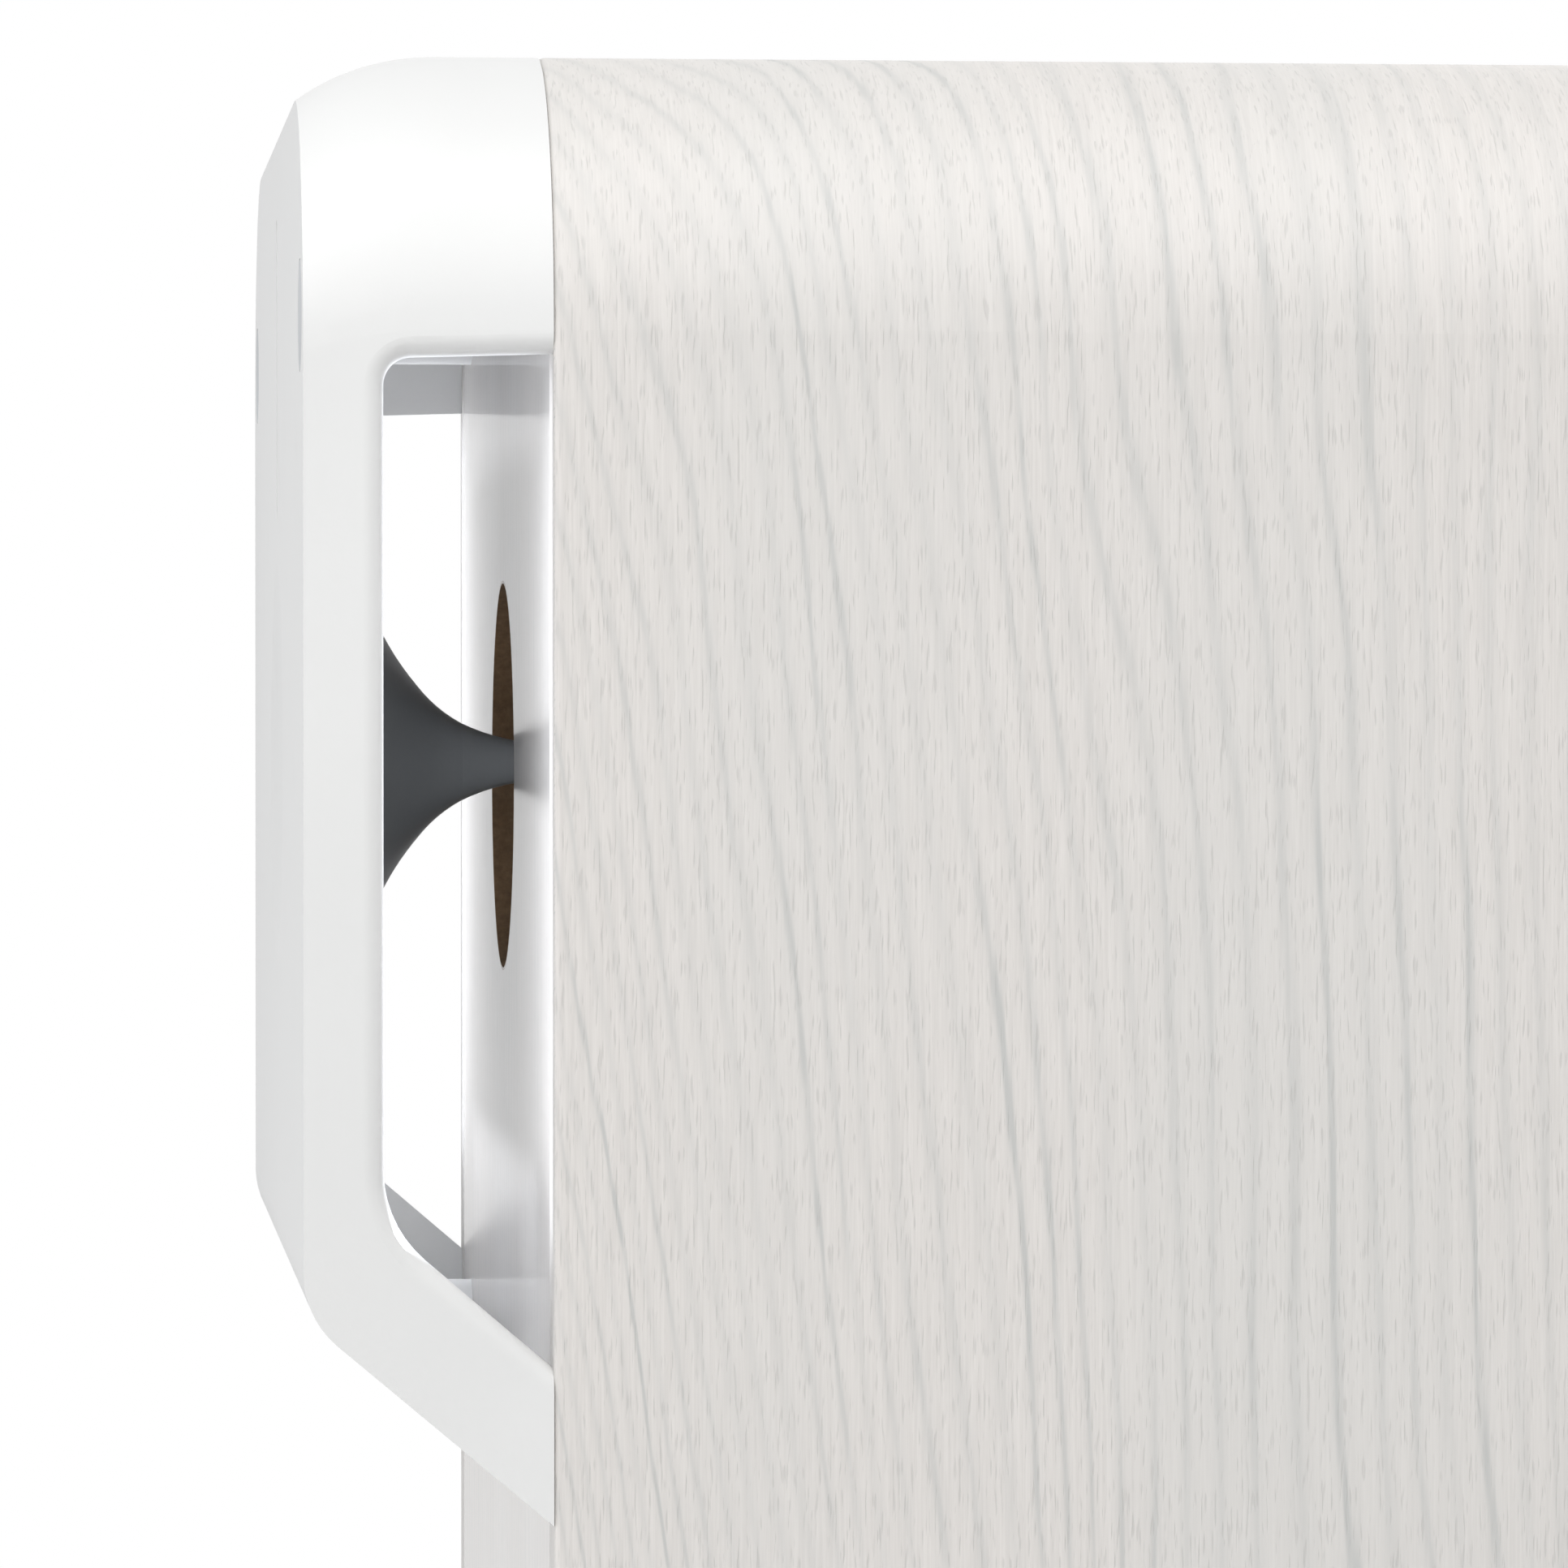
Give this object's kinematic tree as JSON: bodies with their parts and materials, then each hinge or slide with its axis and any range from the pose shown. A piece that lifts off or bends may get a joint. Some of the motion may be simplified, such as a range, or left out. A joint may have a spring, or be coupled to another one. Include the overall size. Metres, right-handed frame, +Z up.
{
  "type": "bookshelf speaker",
  "caption": "Compact bass-reflex bookshelf speaker in white-washed wood finish, with a moulded rear hood that carries a trumpet-shaped diffuser cone in the port.",
  "frame": {"origin": "centre of the overall footprint, on the plane the rubber feet stand on", "axes": "+Z up, -Y to the front (grille side), +Y to the rear (port and terminals), +X to the right as seen from the front, facing the grille"},
  "size_m": [0.19, 0.258, 0.317],
  "materials": {
    "wood_vinyl": "white-washed wood-grain foil, satin",
    "baffle_board": "raw fibreboard",
    "fascia_white": "satin white lacquer",
    "hood_white": "satin moulded white",
    "cone_grey": "satin dark grey",
    "black_tube": "matt black tube",
    "wadding": "polyester wadding",
    "black_rubber": "matt",
    "grey_rubber": "soft grey",
    "brass_insert": "turned",
    "black_plastic": "fine satin",
    "red_plastic": "semi gloss",
    "gold_metal": "gold plated",
    "tinned_steel": "tinned",
    "black_screws": "blackened steel",
    "zinc_screws": "zinc plated",
    "board_green": "solder-masked board",
    "copper_wire": "enamelled copper",
    "film_cap": "wrapped film",
    "lytic_sleeve": "shrink sleeve",
    "resistor_cement": "cement body",
    "cable_jacket": "insulated core",
    "basket_steel": "black powder coat",
    "plated_steel": "zinc plated",
    "ferrite": "sintered ferrite",
    "magnet_plating": "nickel plated",
    "cone_paper": "coated paper",
    "spider_cloth": "resin-treated cotton",
    "silk_dome": "coated silk",
    "grille_plastic": "moulded light grey",
    "grille_fabric": "stretched knit"
  },
  "bodies": {
    "cabinet": {"board_screws": "zinc_screws", "board_standoffs": "black_plastic", "cabinet_wrap": "wood_vinyl", "crossover_board": "board_green", "diffuser_cone": "cone_grey", "driver_tabs": "tinned_steel", "electrolytic_capacitor": "lytic_sleeve", "film_capacitors": "film_cap", "front_baffle": "baffle_board", "front_fascia": "fascia_white", "hood_screws": "zinc_screws", "inductor_bobbins": "black_plastic", "inductor_windings": "copper_wire", "lining_sides": "wadding", "lining_top": "wadding", "panel_screws": "black_screws", "port_hood": "hood_white", "port_tube": "black_tube", "post_collar_black": "black_plastic", "post_collar_red": "red_plastic", "post_nuts": "tinned_steel", "post_stud_black": "gold_metal", "post_stud_red": "gold_metal", "rear_panel": "wood_vinyl", "resistors": "resistor_cement", "rubber_feet": "black_rubber", "solder_lugs": "tinned_steel", "steel_keepers": "zinc_screws", "terminal_cable": "cable_jacket", "terminal_gasket": "grey_rubber", "terminal_plate": "black_plastic", "threaded_insert": "brass_insert", "tweeter_cable": "cable_jacket", "tweeter_faceplate": "black_plastic", "tweeter_magnet": "ferrite", "tweeter_surround": "silk_dome", "tweeter_top_plate": "plated_steel", "tweeter_yoke": "plated_steel", "wall_bumpers": "grey_rubber", "window_brace": "baffle_board", "woofer_basket": "basket_steel", "woofer_cable": "cable_jacket", "woofer_magnet": "ferrite", "woofer_spider": "spider_cloth", "woofer_surround": "black_rubber", "woofer_top_plate": "plated_steel", "woofer_yoke": "plated_steel"},
    "woofer_moving": {"woofer_cone": "cone_paper", "woofer_dust_cap": "cone_paper", "voice_coil": "copper_wire"},
    "tweeter_moving": {"tweeter_dome": "silk_dome", "tweeter_coil": "copper_wire"},
    "grille": {"grille_frame": "grille_plastic", "grille_cloth": "grille_fabric", "grille_magnets": "magnet_plating"},
    "clamp_red": {"clamp_washer_red": "gold_metal"},
    "knob_red": {"post_knob_red": "red_plastic"},
    "clamp_black": {"clamp_washer_black": "gold_metal"},
    "knob_black": {"post_knob_black": "black_plastic"}
  },
  "joints": [
    {"name": "woofer_travel", "type": "slide", "parent": "cabinet", "child": "woofer_moving", "axis": [0, -1, 0], "range_m": [-0.005, 0.005], "stiffness_N_per_m": 1000, "deforming": ["woofer_surround", "woofer_spider"]},
    {"name": "tweeter_travel", "type": "slide", "parent": "cabinet", "child": "tweeter_moving", "axis": [0, -1, 0], "range_m": [-0.0004, 0.0004], "stiffness_N_per_m": 600, "deforming": ["tweeter_surround"]},
    {"name": "grille_pull", "type": "slide", "parent": "cabinet", "child": "grille", "axis": [0, -1, 0], "range_m": [0, 0.08]},
    {"name": "clamp_red_slide", "type": "slide", "parent": "cabinet", "child": "clamp_red", "axis": [0, 1, 0], "range_m": [0, 0.0041]},
    {"name": "knob_red_turn", "type": "hinge", "parent": "clamp_red", "child": "knob_red", "pos_m": [0.00953, 0.1105, 0.075], "axis": [0, 1, 0], "range_deg": [0, 1800]},
    {"name": "clamp_black_slide", "type": "slide", "parent": "cabinet", "child": "clamp_black", "axis": [0, 1, 0], "range_m": [0, 0.0041]},
    {"name": "knob_black_turn", "type": "hinge", "parent": "clamp_black", "child": "knob_black", "pos_m": [-0.00953, 0.1105, 0.075], "axis": [0, 1, 0], "range_deg": [0, 1800]}
  ],
  "couplings": [
    {"joint": "clamp_red_slide", "follows": "knob_red_turn", "m_per_rad": 0.00012732},
    {"joint": "clamp_black_slide", "follows": "knob_black_turn", "m_per_rad": 0.00012732}
  ]
}
